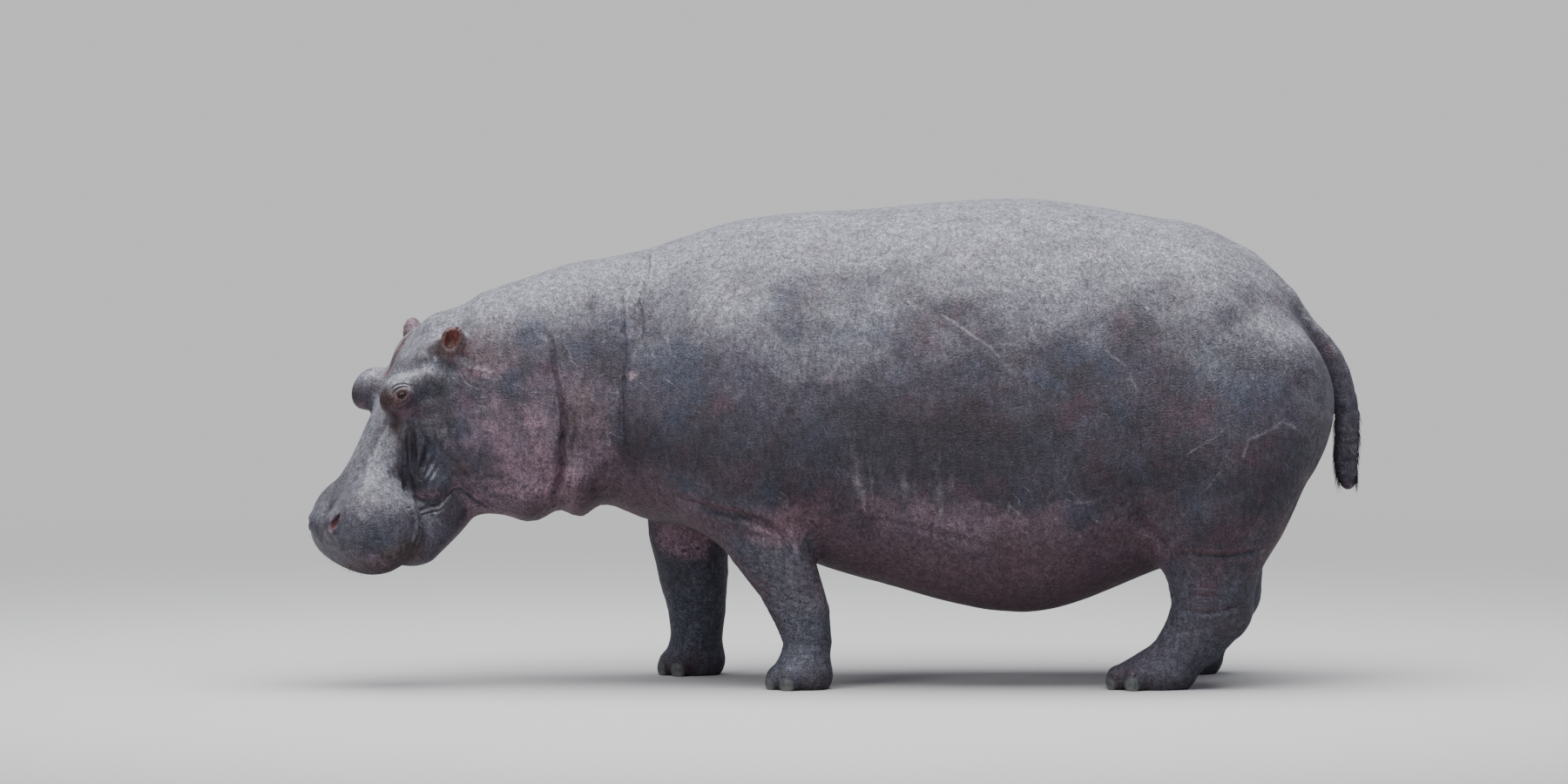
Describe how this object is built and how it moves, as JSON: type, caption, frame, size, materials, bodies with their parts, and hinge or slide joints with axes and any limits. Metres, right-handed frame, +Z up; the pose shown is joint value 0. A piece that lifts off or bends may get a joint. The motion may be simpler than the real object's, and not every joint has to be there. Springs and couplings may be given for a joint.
{
  "type": "hippopotamus, a still life-size model",
  "caption": "Still, life-size common hippopotamus, standing with its heavy head lowered and turned to its left; bare grey-mauve hide, barrel body, short legs with nailed toes and a short tail.",
  "frame": {"origin": "on the ground, under the centre of the bounding box", "axes": "+Z up; the animal faces -X; its left side is towards -Y"},
  "size_m": [3.3408, 1.0374, 1.5413],
  "materials": {
    "hide": "bare, finely wrinkled grey-mauve skin, dusty above and damp about the face, with pink folds",
    "leg": "bare blue-slate skin with crossing wrinkles",
    "ear": "thin skin, orange-red in the cup, dark brown at the base",
    "eye": "wet and glossy, dark brown",
    "nail": "dull horn, worn at the rim"
  },
  "bodies": {
    "root": {"trunk": "hide", "neck": "hide", "tail": "hide", "head": "hide", "muzzle": "hide", "lower_jaw": "hide", "ear_left": "ear", "ear_right": "ear", "eye_left": "eye", "eye_right": "eye", "front_left_leg": "leg", "front_left_foot": "leg", "front_left_nail_1": "nail", "front_left_nail_2": "nail", "front_left_nail_3": "nail", "front_left_nail_4": "nail", "front_right_leg": "leg", "front_right_foot": "leg", "front_right_nail_1": "nail", "front_right_nail_2": "nail", "front_right_nail_3": "nail", "front_right_nail_4": "nail", "hind_left_leg": "leg", "hind_left_foot": "leg", "hind_left_nail_1": "nail", "hind_left_nail_2": "nail", "hind_left_nail_3": "nail", "hind_left_nail_4": "nail", "hind_right_leg": "leg", "hind_right_foot": "leg", "hind_right_nail_1": "nail", "hind_right_nail_2": "nail", "hind_right_nail_3": "nail", "hind_right_nail_4": "nail"}
  },
  "joints": []
}
